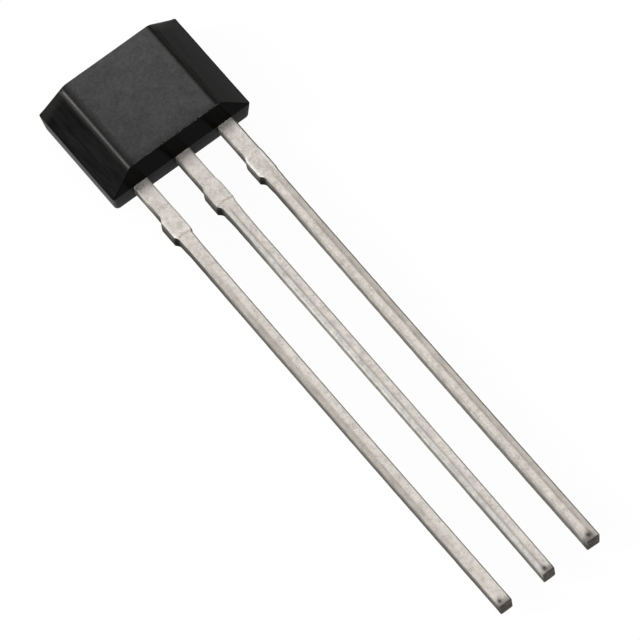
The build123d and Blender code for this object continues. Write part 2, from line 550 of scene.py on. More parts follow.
def finish_shading(bm, sharp_limit):
    """Smooths every face, and keeps the edges that turn by more than the limit sharp."""
    bm.normal_update()
    for face in bm.faces:
        face.smooth = True
    for edge in bm.edges:
        edge.smooth = edge.calc_face_angle(0.0) < sharp_limit


class Compound(Finish):
    """Nodes that every finish of the black moulding compound starts from."""

    def __init__(self, name, level):
        super().__init__(name)
        self.shader.inputs["Specular IOR Level"].default_value = level
        self.mottle = self.noise(self.place, MOTTLE_SCALE, detail=5.0, roughness=0.75)
        self.grain = self.noise(self.place, GRAIN_SCALE, detail=2.0, roughness=0.6)

    def finished(self, base, roughness, relief):
        return self.linked(base, roughness, self.grain + self.mottle * 0.8, relief, 0.004 * MM)


class FrontCompound(Compound):
    """Front face and long slopes: the slopes show drawn lines, and the face is frosted."""

    def __init__(self, sizes):
        super().__init__("front_compound", 0.036)
        rise = package_high.z - sizes.parting_height
        self.edge = package_high.x - rise * tan(sizes.side_slope)
        self.drawn = self.lines(1100.0, 9500.0, 0.65)
        self.right = self.ease(self.x, -1.3 * MM, 0.3 * MM)

    def frosting(self):
        """1 on the frosted face, 0 on the slopes. The right boundary is a little ragged."""
        uneven_x = self.x + self.vary(self.mottle, -0.022 * MM, 0.022 * MM)
        left = self.span(self.x, -self.edge - 0.04 * MM, -self.edge + 0.19 * MM)
        return left * self.span(
            uneven_x, self.edge - 0.17 * MM, self.edge - 0.085 * MM, 1.0, 0.0
        )

    def face_shade(self):
        """Shade of the frosted face: mottled, with painted shade on its left, darker along its
        near edge, and with painted light towards its far end.
        """
        cloud = self.noise(self.place, CLOUD_SCALE, detail=2.0)
        mottled = self.vary(self.mottle, 0.74, 1.26) + self.vary(self.grain, -0.12, 0.12)
        mottled += self.vary(cloud, -0.10, 0.10)
        # Painted light towards the far end, and painted shade towards the left edge
        painted_light_towards_far = self.span(self.y, package_low.y, -package_low.y, 0.94, 1.10)
        near_band = (package_low.y + 0.14 * MM, package_low.y + 0.36 * MM)
        near = self.span(self.y, *near_band, 0.72, 1.0)
        return mottled * painted_light_towards_far * self.span(self.right, 0.0, 1.0, 0.84, 0.955) * near

    def slope_shade(self):
        """Shade of the long slopes: lines, and light scratches at the left one's far half."""
        scratches = self.span(self.lines(3000.0, 16000.0, 0.65), 0.50, 0.70, 0.0, 1.6)
        far_left = self.span(self.y, 0.2 * MM, 1.3 * MM) * self.ease(self.x, 0.0, -self.edge)
        lined = self.vary(self.drawn, 0.30, 1.30) + self.vary(self.mottle, -0.25, 0.25)
        return lined + scratches * far_left

    def rubbed(self):
        """Painted highlights and sheen: along the face's long edges, on the outer right slope and
        at the far corners.
        """
        x, y, edge, side = self.x, self.y, self.edge, package_high.x
        # Painted highlight along the left edge, growing towards the far end, and painted sheen on
        # the right edge, the outer right slope and the far corners
        left_edge = self.bell(x + edge + 0.095 * MM, 0.028 * MM)
        left_edge += self.bell(x + edge + 0.030 * MM, 0.020 * MM) * 1.9
        far_right = (
            self.ease(y, 1.10 * MM, 1.40 * MM)
            * self.ease(x, edge - 0.06 * MM, edge + 0.02 * MM)
            * self.span(x, edge + 0.10 * MM, side - 0.15 * MM, 1.0, 0.0)
        )
        far_left = self.ease(y, 1.12 * MM, 1.36 * MM) * self.ease(
            x, -edge - 0.02 * MM, -edge - 0.10 * MM
        )
        painted_highlight = (
            left_edge * self.span(y, -1.3 * MM, 1.2 * MM, 1.0, 2.0)
            + self.bell(x - edge, 0.10 * MM) * 1.1
            + self.span(x, edge + 0.10 * MM, side - 0.05 * MM, 0.0, 0.7)
            + far_right * 2.2
            + far_left * 0.8
        )
        # Even along the left edge, and patchy along the right one
        patchy = self.ease(x, -edge, edge)
        uneven = self.vary(self.mottle, -1.0, 1.0) * self.span(patchy, 0.0, 1.0, 0.12, 0.35)
        uneven += self.vary(self.drawn, -1.0, 1.0) * patchy * 0.36
        return painted_highlight * (uneven + 1.0) * self.ease(x, side - 0.02 * MM, side - 0.07 * MM)


def front_compound(sizes):
    """Finish of the front face and the long slopes."""
    finish = FrontCompound(sizes)
    frosted = finish.frosting()
    face = finish.shaded(rgba(sizes.face_colour), finish.face_shade())
    slope = finish.shaded(rgba(sizes.side_colour), finish.slope_shade())
    # Painted highlights and sheen, added on top of the face and the slopes
    painted_highlight = finish.shaded(rgba(sizes.painted_highlight_colour), finish.rubbed())
    base = finish.blend(1.0, finish.blend(frosted, slope, face), painted_highlight, "ADD")
    roughness = (
        finish.span(frosted, 0.0, 1.0, 0.20, 0.60)
        + finish.vary(finish.drawn, -0.06, 0.06)
        + finish.span(finish.y, package_low.y, -package_low.y, 0.04, -0.04)
    )
    relief = finish.span(frosted, 0.5, 1.0, 0.02, 0.5) + finish.right * 0.07
    return finish.finished(base, roughness, relief)


def end_compound(sizes):
    """Ends of the front half: polished, so they mirror the leads faintly."""
    finish = Compound("end_compound", 0.02)
    base = finish.shaded(rgba(sizes.end_colour), finish.vary(finish.mottle, 0.4, 1.6))
    # Painted glints: crumbs of light along the crisp edge of the face
    near_edge = finish.ease(finish.z, package_high.z - 0.05 * MM, package_high.z)
    painted_glints = near_edge * finish.span(finish.grain, 0.40, 0.65, 0.0, 0.10)
    base = finish.blend(1.0, base, painted_glints, "ADD")
    return finish.finished(base, finish.vary(finish.mottle, 0.12, 0.22), 0.04)


def back_compound(sizes):
    """Back half: plain matte walls and back face, with painted light on the left wall."""
    finish = Compound("back_compound", 0.03)
    # Painted light: the left wall, which faces the key lamp, is paler
    shade = (
        finish.vary(finish.mottle, 0.7, 1.3)
        + finish.span(finish.grain, 0.55, 0.75, 0.0, 0.6)
        + finish.ease(finish.x, 0.12 * MM - package_high.x, -package_high.x)
    )
    roughness = finish.span(finish.z, 0.0, sizes.parting_height, 0.38, 0.54)
    roughness += finish.vary(finish.mottle, -0.06, 0.06)
    return finish.finished(finish.shaded(rgba(sizes.back_colour), shade), roughness, 0.3)


def compound_of(face, sizes):
    """Which finish a face of the package has: 0 front and long slopes, 1 ends, 2 back half."""
    if face.calc_center_median().z < sizes.parting_height:
        return 2
    return 1 if abs(face.normal.y) > END_LEAN else 0


class SWITCH_OT_moulding(bpy.types.Operator):
    """Build the moulded package with its rounded edges and frosted front face"""

    bl_idname = "magnetic_switch.moulding"
    bl_label = "Moulded package"

    def execute(self, context):
        sizes = context.scene.switch_moulding
        mesh = bpy.data.meshes.new("package")
        for make in (front_compound, end_compound, back_compound):
            mesh.materials.append(make(sizes))
        shell = moulded_shell(sizes)
        for face in shell.faces:
            face.material_index = compound_of(face, sizes)
        shell.to_mesh(mesh)
        shell.free()
        package = mesh_object("package", mesh)
        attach(package, "root")
        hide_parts("moulded_body")
        return {"FINISHED"}


# ---------------------------------------------------------------- leads


LEAD_INPUTS = (
    "Centre X", "Exit Y", "Tip Y", "Top Z", "Thickness", "Overlap",
    "Root Width", "Shank Width", "Stub Span", "Edge Radius", "Tip Roll", "Ripple",
    "Stub Start", "Stub Ramp", "Stub Length", "Stub Relief",
    "Root Shift", "Stub Shift", "Shank Shift", "Tip Shift", "Bend", "Twist", "Right Tail",
    "Crease Offset", "Crease Tilt", "Crease Shade", "Film Fade",
    "Left Film", "Right Film", "Left Cool", "Left Burnish And Glint", "Right Burnish",
    "Root Roll", "Stub Roll", "Shank Roll", "Roll Width", "Root Rim", "Stub Rim", "Shank Rim",
    "Root Flank", "Torn Flank", "Shank Flank", "Flank Fade", "Stub Flare",
    "Step Shift", "Step Depth", "Step Shade", "Tip Dull", "Tip Lean", "Seed",
    "Mark Offset", "Mark Inset", "Mark Radius", "Mark Depth",
)
# What the tool did to the tin, and the painted shade and glints on it, kept on a lead's points
# for its material
TOOL_MARKS = ("film", "cool", "burnish_and_glint", "rim", "flank", "mark", "to_tip")


class LeadDrawing(Nodes):
    """Draws the free length of a stamped lead in a Geometry Nodes tree.

    A straight section is swept from just inside the package to the tip. Fields on its points then
    move them to the lead's own line and widths, and keep what the tool did to the tin and the
    painted shade and glints on it.
    """

    def __init__(self, tree):
        super().__init__(tree)
        sockets = self.add("NodeGroupInput").outputs
        self.given = given = {socket.name: Field(self, socket) for socket in sockets}
        self.free_length = given["Exit Y"] - given["Tip Y"]
        self.start_y = given["Exit Y"] + given["Overlap"]
        self.middle_z = given["Top Z"] - given["Thickness"] * 0.5
        self.ramp_end = given["Stub Start"] + given["Stub Ramp"]
        self.stub_end = self.ramp_end + given["Stub Length"]
        self.relief_end = self.stub_end + given["Stub Relief"]
        self.locate()
        self.follow_crease()
        self.follow_step()

    def path(self):
        """Centre line, whose rings crowd where the stubs and the tip change the section."""
        given, start_y, middle_z = self.given, self.start_y, self.middle_z
        ends = {
            "Start": self.join(given["Centre X"], start_y, middle_z),
            "End": self.join(given["Centre X"], given["Tip Y"], middle_z),
        }
        line = self.field("GeometryNodeCurvePrimitiveLine", ends)
        counted = {"Curve": line, "Count": LEAD_RINGS}
        rings = self.field("GeometryNodeResampleCurve", counted, mode="COUNT")
        share = self.field("GeometryNodeSplineParameter", output="Factor")
        stub_zone = given["Overlap"] + self.relief_end
        tip_zone = given["Tip Roll"] * 4.0
        shank_zone = start_y - given["Tip Y"] - stub_zone - tip_zone
        run = (
            self.span(share, 0.0, STUB_RINGS, 0.0, stub_zone)
            + self.span(share, STUB_RINGS, SHANK_RINGS, 0.0, shank_zone)
            + self.span(share, SHANK_RINGS, 1.0, 0.0, tip_zone)
        )
        place = self.join(given["Centre X"], start_y - run, middle_z)
        spread = self.field("GeometryNodeSetPosition", {"Geometry": rings, "Position": place})
        return self.field("GeometryNodeSetCurveNormal", {"Curve": spread}, mode="Z_UP")

    def profile(self):
        """Section: a rectangle with rounded corners, and points across each straight side."""
        given = self.given
        sides = {"Width": given["Root Width"], "Height": given["Thickness"]}
        rectangle = self.field(
            "GeometryNodeCurvePrimitiveQuadrilateral", sides, mode="RECTANGLE"
        )
        corners = {"Curve": rectangle, "Count": EDGE_STEPS, "Radius": given["Edge Radius"]}
        rounded = self.field("GeometryNodeFilletCurve", corners, mode="POLY")
        index = self.field("GeometryNodeInputIndex")
        place_in_corner = self.math("MODULO", index, EDGE_STEPS + 1.0)
        starts_side = self.math("COMPARE", place_in_corner, EDGE_STEPS, 0.5)
        cuts = {"Curve": rounded, "Cuts": starts_side * SIDE_CUTS}
        return self.field("GeometryNodeSubdivideCurve", cuts)

    def locate(self):
        """Where each point is: along the lead, across it, up it, and in which of its zones."""
        given = self.given
        x, y, self.z = self.split(self.field("GeometryNodeInputPosition"))
        self.along = given["Exit Y"] - y
        self.offset = x - given["Centre X"]
        flat = given["Root Width"] * 0.5 - given["Edge Radius"]
        self.edge = self.span(self.offset, -flat, flat, -1.0, 1.0)
        self.upper = self.span(self.z, self.middle_z, given["Top Z"])
        self.towards_tip = self.span(self.along, self.relief_end, self.free_length)
        # Out to the stubs, then hollow back in to the shank, the right edge over a longer tail
        self.widened = self.ease(self.along, given["Stub Start"], self.ramp_end)
        left_over = self.span(self.along, self.stub_end, self.relief_end, 1.0, 0.0)
        hollow = 1.0 - left_over * left_over
        late = self.span(self.edge, -1.0, 1.0, 0.0, 1.0) * given["Right Tail"]
        self.relieved = (
            hollow * (1.0 - SHORT_TAIL_SHARE - late)
            + self.past_relief(0.35 * MM) * SHORT_TAIL_SHARE
            + self.past_relief(1.1 * MM) * late
        )
        self.at_stubs = self.widened * (1.0 - self.relieved)

    def past_relief(self, distance):
        """0 up to the end of the stubs' hollow, and 1 from that distance past it."""
        return self.ease(self.along, self.relief_end, self.relief_end + distance)

    def before_tip(self, start, end):
        """0 up to one distance before the tip, and 1 from the nearer one."""
        return self.ease(self.along, self.free_length - start, self.free_length - end)

    def tip_arc(self, radius):
        """How far an arc of that radius, which ends at the tip, has dropped at each point."""
        beyond = self.at_least_zero(self.along - self.free_length + radius)
        squares = self.at_least_zero(radius * radius - beyond * beyond)
        return radius - self.math("SQRT", squares)

    def change(self, start, end, share):
        """The share of the way from one input's value to another's."""
        return (self.given[end] - self.given[start]) * share

    def follow_crease(self):
        """The shallow crease along the shank: where it runs, and the tin on its two sides."""
        self.creased = self.ease(
            self.along, self.stub_end + 0.02 * MM, self.relief_end + 0.4 * MM
        )
        place = self.join(0.0, self.along, self.given["Seed"])
        wavering = self.noise(place, WAVER_SCALE, detail=3.0) - 0.5
        self.from_crease = self.offset - self.given["Crease Offset"] + wavering * (0.05 * MM)
        self.on_right = self.ease(self.from_crease, -0.025 * MM, 0.025 * MM)
        self.on_left = 1.0 - self.on_right

    def follow_step(self):
        """The ragged line across a lead where its stubs end, and the dot pressed near its tip."""
        given = self.given
        place = self.join(self.offset, given["Seed"], 0.0)
        self.fray = self.noise(place, FRAY_SCALE, detail=3.0, roughness=0.6)
        ragged = (self.fray - 0.5) * (0.17 * MM)
        arched = (1.0 - self.edge * self.edge) * (0.05 * MM)
        from_step = self.along - self.stub_end - given["Step Shift"]
        self.step_line = self.bell(from_step + ragged + arched, 0.024 * MM)
        mark_x = self.offset - given["Mark Offset"]
        mark_y = self.along - self.free_length + given["Mark Inset"]
        radius = given["Mark Radius"]
        self.mark = self.bell(mark_x, radius) * self.bell(mark_y, radius)

    def twist(self):
        """How far the section has turned about the lead's own line."""
        return self.given["Twist"] * self.towards_tip

    def sideways(self):
        """How far each point moves along X: its width, its line, its ripple and its twist."""
        given, towards_tip = self.given, self.towards_tip
        growth = (
            self.change("Root Width", "Stub Span", self.widened) * 0.5
            + self.change("Stub Span", "Shank Width", self.relieved) * 0.5
            - self.tip_arc(given["Edge Radius"])
            + given["Stub Flare"] * self.at_stubs * (1.0 - self.upper)
        )
        shift = (
            given["Root Shift"]
            + self.change("Root Shift", "Stub Shift", self.widened)
            + self.change("Stub Shift", "Shank Shift", self.relieved)
            + self.change("Shank Shift", "Tip Shift", towards_tip)
            + given["Bend"] * towards_tip * (1.0 - towards_tip) * 4.0
        )
        place = self.join(self.edge * 2.0, self.along * RIPPLE_SCALE, given["Seed"])
        ripple = self.noise(place, 1.0, detail=4.0, roughness=0.65) - 0.5
        ripple *= given["Ripple"] * 2.0 * self.ease(self.along, 0.0, 0.2 * MM)
        return self.edge * growth + shift + ripple + (self.z - self.middle_z) * self.twist()

    def downwards(self):
        """How far each point sinks: rolled tip, crease, step, dot and twist."""
        given = self.given
        sunk = (
            self.tip_arc(given["Tip Roll"])
            + abs(self.from_crease) * given["Crease Tilt"] * self.creased
            + self.step_line * given["Step Depth"]
            + self.mark * given["Mark Depth"]
        )
        return sunk * self.upper + self.offset * self.twist()

    def by_zone(self, name):
        """A value that differs between the root, the stubs and the shank, blended along them."""
        given = self.given
        return (
            given["Root " + name] * (1.0 - self.widened)
            + given["Stub " + name] * self.at_stubs
            + given["Shank " + name] * (self.widened * self.relieved)
        )

    def film(self):
        """Tarnish beside the crease, and painted shade in the crease, on the rolled left edge and
        along the step.
        """
        given = self.given
        crease_width = self.span(self.on_right, 0.0, 1.0, 0.026 * MM, 0.045 * MM)
        # Painted shade in the crease, and tarnish beside it
        drawn = (
            self.bell(self.from_crease, crease_width) * given["Crease Shade"] * self.creased
            + self.on_left * given["Left Film"] * self.past_relief(2.5 * MM)
            + self.on_right * given["Right Film"] * (self.creased + self.at_stubs * 0.4)
        )
        place = self.join(self.offset * 3.0, self.along, given["Seed"])
        patches = self.noise(place, PATCH_SCALE, detail=4.0, roughness=0.6)
        patchy = self.span(patches, 0.35, 0.65, 0.65, 1.35)
        kept = 1.0 - self.before_tip(4.0 * MM, 0.5 * MM) * given["Film Fade"]
        # Painted shade on the rolled left edge
        rolled = self.ease(self.edge, given["Roll Width"] - 1.0, -1.0)
        frayed = self.span(self.fray, 0.35, 0.65, 0.3, 1.5)
        # Painted shade along the step
        step = self.step_line * given["Step Shade"] * self.upper * frayed
        return drawn * patchy * kept + rolled * self.by_zone("Roll") + step

    def burnish_and_glint(self):
        """Bright tin that the shear rubbed on the edges of the stubs, with painted glints on
        them, and a painted glint at their end.
        """
        left_edge = self.ease(self.edge, -0.76, -0.88)
        right_edge = self.ease(self.edge, 0.68, 0.80) * self.ease(self.edge, 0.99, 0.93)
        # Painted glint at the end of the stubs
        painted_glint = self.bell(self.along - (self.stub_end - 0.03 * MM), 0.07 * MM)
        return (
            left_edge * self.given["Left Burnish And Glint"] * self.at_stubs
            + right_edge * self.given["Right Burnish"] * self.at_stubs
            + left_edge * painted_glint * 0.7
        )

    def flank(self):
        """How light the punched flanks are: torn and darker past the root, with painted shade in
        the hollow at the stubs' end, and darker towards the tip.
        """
        given = self.given
        torn = self.ease(self.along, 0.3 * MM, given["Stub Start"]) * self.ease(
            self.along, self.relief_end + 3.0 * MM, self.relief_end + 0.3 * MM
        )
        from_notch = self.along - (self.stub_end + 0.05 * MM)
        # Painted shade in the hollow at the end of the stubs
        painted_notch_shade = self.bell(from_notch, 0.09 * MM) * self.span(self.edge, -0.90, -1.0)
        punched = given["Root Flank"] * (1.0 - self.widened)
        punched += given["Shank Flank"] * self.widened
        light = punched * (1.0 - torn) + given["Torn Flank"] * torn
        kept = 1.0 - self.span(self.towards_tip, 0.60, 0.85) * given["Flank Fade"]
        return light * self.span(painted_notch_shade, 0.0, 1.0, 1.0, 0.15) * kept

    def tool_marks(self):
        """The fields of TOOL_MARKS, in their order."""
        given = self.given
        # Cooler tin left of the crease: rubbed by the tool, and a painted reflection of its
        # tilted facet
        cool = self.on_left * given["Left Cool"] * self.creased
        # Darker along the right edge
        rim = self.ease(self.edge, 0.95, 1.0) * self.by_zone("Rim")
        # Duller tin and painted shade towards the rolled tip
        lean = 1.0 - self.edge * given["Tip Lean"]
        to_tip = self.before_tip(0.24 * MM, 0.02 * MM) * lean * given["Tip Dull"]
        return self.film(), cool, self.burnish_and_glint(), rim, self.flank(), self.mark, to_tip

    def stored(self, geometry, name, value):
        """The geometry, with the value kept on its points under that name."""
        sockets = {"Geometry": geometry, "Name": name, "Value": value}
        return self.field(
            "GeometryNodeStoreNamedAttribute", sockets, data_type="FLOAT", domain="POINT"
        )

    def draw(self):
        """Sweeps, marks and shapes the free length, joins the inner end, and gives the mesh."""
        sweep = {"Curve": self.path(), "Profile Curve": self.profile(), "Fill Caps": True}
        geometry = self.field("GeometryNodeCurveToMesh", sweep)
        for name, value in zip(TOOL_MARKS, self.tool_marks()):
            geometry = self.stored(geometry, name, value)
        move = self.join(self.sideways(), 0.0, -self.downwards())
        moved = {"Geometry": geometry, "Offset": move}
        shaped = self.field("GeometryNodeSetPosition", moved)
        joined = self.add("GeometryNodeJoinGeometry")
        for part in (shaped, self.stored(self.given["Geometry"], "flank", 1.0)):
            self.tree.links.new(part.socket, joined.inputs[0])
        joined = Field(self, joined.outputs[0])
        smooth = self.field("GeometryNodeSetShadeSmooth", {"Geometry": joined})
        turn = self.field("GeometryNodeInputMeshEdgeAngle", output="Unsigned Angle")
        sharp = self.math("GREATER_THAN", turn, LEAD_SHARP_ANGLE)
        kept_crisp = {"Geometry": smooth, "Selection": sharp, "Shade Smooth": False}
        crisp = self.field("GeometryNodeSetShadeSmooth", kept_crisp, domain="EDGE")
        real = self.field("GeometryNodeRealizeInstances", {"Geometry": crisp})
        tinned = {"Geometry": real, "Material": self.given["Material"]}
        return self.field("GeometryNodeSetMaterial", tinned)


def lead_tree():
    """Geometry Nodes tree that draws a lead's free length and joins its inner end."""
    tree = bpy.data.node_groups.new("Stamped lead", "GeometryNodeTree")
    tree.interface.new_socket("Geometry", in_out="INPUT", socket_type="NodeSocketGeometry")
    for name in LEAD_INPUTS:
        tree.interface.new_socket(name, in_out="INPUT", socket_type="NodeSocketFloat")
    tree.interface.new_socket("Material", in_out="INPUT", socket_type="NodeSocketMaterial")
    tree.interface.new_socket("Geometry", in_out="OUTPUT", socket_type="NodeSocketGeometry")
    drawing = LeadDrawing(tree)
    drawing.add("NodeGroupOutput", [drawing.draw()])
    return tree


def inner_end(node, cut_y):
    """Copy of a lead's mesh from the cut inwards, as one closed shell."""
    bm = bmesh.new()
    bm.from_mesh(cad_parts[node].data)
    bmesh.ops.remove_doubles(bm, verts=bm.verts, dist=MERGE_DISTANCE)
    cut = bmesh.ops.bisect_plane(
        bm,
        geom=[*bm.verts, *bm.edges, *bm.faces],
        plane_co=(0, cut_y, 0),
        plane_no=(0, -1, 0),
        clear_outer=True,
    )
    rim = [e for e in cut["geom_cut"] if isinstance(e, bmesh.types.BMEdge)]
    bmesh.ops.holes_fill(bm, edges=rim)
    bmesh.ops.recalc_face_normals(bm, faces=bm.faces)
    mesh = bpy.data.meshes.new(node)
    bm.to_mesh(mesh)
    bm.free()
    return mesh


def tip_centre(node):
    """Middle of a lead across its width, and its Y, both taken at its tip."""
    corners = [v.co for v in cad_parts[node].data.vertices]
    tip_y = min(c.y for c in corners)
    across = [c.x for c in corners if c.y < tip_y + TIP_REACH]
    return (min(across) + max(across)) / 2, tip_y


class LeadTin(Finish):
    """Matte tin with a fine mottle, films where the tool rubbed it, painted shade and glints, and
    darker punched flanks.
    """

    def __init__(self, sizes):
        super().__init__("tinned_copper")
        self.sizes = sizes
        normal = self.field("ShaderNodeNewGeometry", output="Normal")
        self.aside, self.out, up = self.split(normal)
        self.marks = {
            name: self.field("ShaderNodeAttribute", output="Fac", attribute_name=name)
            for name in TOOL_MARKS
        }
        self.mottle = self.noise(self.place, TIN_MOTTLE_SCALE, detail=5.0, roughness=0.8)
        self.grain = self.noise(self.place, TIN_GRAIN_SCALE, detail=2.0, roughness=0.6)
        self.from_package = package_low.y - self.y
        steep = abs(up)
        self.on_edge = self.ease(steep, 0.99, 0.90)
        # The left edges shade into their flanks, and the right ones keep the look of the top
        self.on_flank = self.ease(
            steep,
            self.span(self.aside, -0.05, 0.05, 0.95, 0.5),
            self.span(self.aside, -0.05, 0.05, 0.35, 0.15),
        )

    def upper_face(self):
        """Clean or rubbed tin, under a patchy film and painted shade, and duller with painted
        shade towards the tip.
        """
        sizes, marks, mottle = self.sizes, self.marks, self.mottle
        tarnish_and_shade = marks["film"] * self.vary(mottle, 0.6, 1.4) + self.span(
            mottle, 0.56, 0.72, 0.0, 0.35
        )
        clean = self.blend(marks["cool"], rgba(sizes.tin_colour), rgba(sizes.cool_colour))
        clean = self.blend(marks["burnish_and_glint"], clean, rgba(sizes.burnish_and_glint_colour))
        top = self.blend(self.at_most_one(tarnish_and_shade), clean, rgba(sizes.tarnish_and_shade_colour))
        dulled_and_shaded = self.at_most_one(marks["to_tip"]) * self.vary(mottle, 0.75, 1.05)
        return self.blend(dulled_and_shaded, top, rgba(sizes.dull_and_shade_colour))

    def punched_flank(self):
        """Sheared and lighter above, torn and darker below."""
        past_root = self.span(self.from_package, 1.0 * MM, 2.4 * MM)
        sheared = lead_high.z - 0.01 * MM + past_root * (0.06 * MM)
        height = self.ease(self.z, lead_low.z + 0.16 * MM, sheared)
        flank = self.blend(
            height, rgba(self.sizes.torn_colour), rgba(self.sizes.flank_colour)
        )
        light = self.marks["flank"] * self.span(self.marks["to_tip"], 0.0, 1.0, 1.0, 0.45)
        return self.shaded(flank, light * self.vary(self.lines(3500.0, 20000.0, 0.7), 0.7, 1.3))

    def shade(self):
        """Mottle and grain, painted shade and painted light on the tin beside the package, and
        painted shade on the left rounded edges.
        """
        cloud = self.noise(self.place, TIN_CLOUD_SCALE, detail=2.0)
        coarse_near = self.span(self.from_package, 1.8 * MM, 3.0 * MM, 1.7, 1.0)
        # Painted shade on the left rounded edges
        painted_shade_left_round = self.on_edge * self.span(self.aside, 0.0, -0.15) * (1.0 - self.on_flank)
        # Painted shade on the tin beside the package, and painted light just beyond it
        painted_shade_by_package = self.bell(self.from_package - 0.11 * MM, 0.085 * MM)
        beyond = self.bell(self.from_package - 0.48 * MM, 0.22 * MM)
        return (
            self.vary(self.mottle, 0.72, 1.28)
            + self.vary(self.grain, -0.11, 0.11) * coarse_near
            + self.vary(cloud, -0.09, 0.09)
            + painted_shade_by_package * -0.22
            + beyond * 0.10
            + painted_shade_left_round * -0.14
        )

    def finished(self):
        sizes, marks, mottle = self.sizes, self.marks, self.mottle
        base = self.blend(self.on_flank, self.upper_face(), self.punched_flank())
        # Darker along the right edge of each lead
        right_edge_darkened = marks["rim"] * self.span(mottle, 0.35, 0.65, 0.7, 1.3)
        base = self.blend(self.at_most_one(right_edge_darkened), base, rgba(sizes.rim_colour))
        # The cut tip's end face: bare metal, darkened with painted shade
        on_end = self.ease(-self.out, 0.35, 0.80) * self.ease(marks["to_tip"], 0.0, 0.15)
        end = self.shaded(rgba(sizes.cut_tip_and_shade_colour), self.vary(mottle, 0.3, 1.7))
        base = self.blend(on_end, base, end)
        base = self.blend(self.at_most_one(marks["mark"]), base, rgba(sizes.mark_colour))
        base = self.shaded(base, self.shade())
        roughness = self.vary(mottle, 0.32, 0.46) + self.on_edge * 0.45 + marks["mark"] * 0.1
        self.shader.inputs["Metallic"].default_value = 1.0
        return self.linked(base, roughness, self.grain + mottle * 0.6, 0.35, 0.003 * MM)


# How the tool left each lead, and the painted shade and glints on it: the values of the supply,
# the ground and the output lead.
# Lengths, in millimetres. One that the settings hold too is a difference from it
LEAD_LENGTHS = {
    "Root Width": (0.0, 0.008, 0.029),
    "Shank Width": (-0.005, -0.014, 0.017),
    "Stub Span": (-0.024, -0.021, -0.004),
    "Root Shift": (0.012, 0.008, 0.029),
    "Stub Shift": (-0.022, -0.004, 0.009),
    "Shank Shift": (-0.015, 0.015, 0.050),
    "Tip Shift": (-0.022, -0.021, 0.024),
    "Bend": (-0.011, 0.012, -0.014),
    "Crease Offset": (-0.052, -0.066, 0.022),
    "Stub Flare": (0.026, 0.025, 0.010),
    "Step Shift": (0.09, 0.0, 0.0),
    "Step Depth": (0.008, 0.012, 0.004),
    "Mark Offset": (-0.088, -0.020, -0.030),
    "Mark Inset": (0.15, 0.145, 0.155),
    "Mark Radius": (0.070, 0.078, 0.105),
}
# Shares and strengths
LEAD_SHARES = {
    "Twist": (0.0, 0.0, 0.07),
    "Right Tail": (0.10, 0.30, 0.10),
    "Crease Tilt": (0.02, 0.04, 0.03),
    "Crease Shade": (0.15, 0.72, 0.42),
    "Film Fade": (0.75, 0.0, 0.10),
    "Left Film": (0.52, 0.0, 0.0),
    "Right Film": (0.0, 0.0, 0.45),
    "Left Cool": (0.0, 1.0, 0.0),
    "Left Burnish And Glint": (0.15, 0.1, 0.9),
    "Right Burnish": (0.15, 0.15, 0.95),
    "Root Roll": (0.25, 0.20, 0.0),
    "Stub Roll": (0.0, 0.35, 0.0),
    "Shank Roll": (0.10, 0.18, 0.50),
    "Roll Width": (0.24, 0.24, 0.24),
    "Root Rim": (0.40, 0.40, 0.95),
    "Stub Rim": (0.25, 0.15, 0.75),
    "Shank Rim": (0.70, 0.65, 0.80),
    "Root Flank": (1.60, 1.20, 1.75),
    "Torn Flank": (0.52, 0.62, 0.74),
    "Shank Flank": (1.10, 2.40, 1.78),
    "Flank Fade": (0.15, 0.42, 0.18),
    "Step Shade": (0.60, 0.75, 0.25),
    "Tip Dull": (1.0, 1.0, 0.72),
    "Tip Lean": (0.0, -0.45, 1.0),
    "Seed": (3.0, 11.0, 23.0),
}


class SWITCH_OT_leads(bpy.types.Operator):
    """Build the three stamped and tinned leads"""

    bl_idname = "magnetic_switch.leads"
    bl_label = "Leads"

    def execute(self, context):
        sizes = context.scene.switch_leads
        tree = lead_tree()
        shared = {
            "Exit Y": package_low.y,
            "Top Z": lead_high.z,
            "Thickness": lead_high.z - lead_low.z,
            "Overlap": LEAD_OVERLAP,
            "Material": LeadTin(sizes).finished(),
        }
        for setting in (
            "root_width", "shank_width", "stub_span",
            "stub_start", "stub_ramp", "stub_length", "stub_relief",
            "edge_radius", "tip_roll", "ripple", "mark_depth",
        ):
            shared[setting.replace("_", " ").title()] = getattr(sizes, setting)
        for which, node in enumerate(LEADS):
            centre_x, tip_y = tip_centre(node)
            own = {name: row[which] for name, row in LEAD_SHARES.items()}
            for name, row in LEAD_LENGTHS.items():
                own[name] = shared.get(name, 0.0) + row[which] * MM
            mesh = inner_end(node, package_low.y + LEAD_OVERLAP)
            lead = mesh_object(node.replace("lead_", "tinned_lead_"), mesh)
            grown(lead, tree, {**shared, **own, "Centre X": centre_x, "Tip Y": tip_y})
            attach(lead, "root")
            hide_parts(node)
        return {"FINISHED"}


# ---------------------------------------------------------------- chip


def plain_finish(name, base_colour, metallic, roughness, scale, contrast):
    """A finish with one colour, whose shade and gloss vary with a fine noise."""
    finish = Finish(name)
    grain = finish.noise(finish.place, scale, detail=3.0)
    shade = finish.vary(grain, 1.0 - contrast, 1.0 + contrast)
    gloss = finish.vary(grain, roughness * 0.85, roughness * 1.15)
    finish.shader.inputs["Metallic"].default_value = metallic
    return finish.linked(finish.shaded(rgba(base_colour), shade), gloss, grain, 0.2, 0.001 * MM)


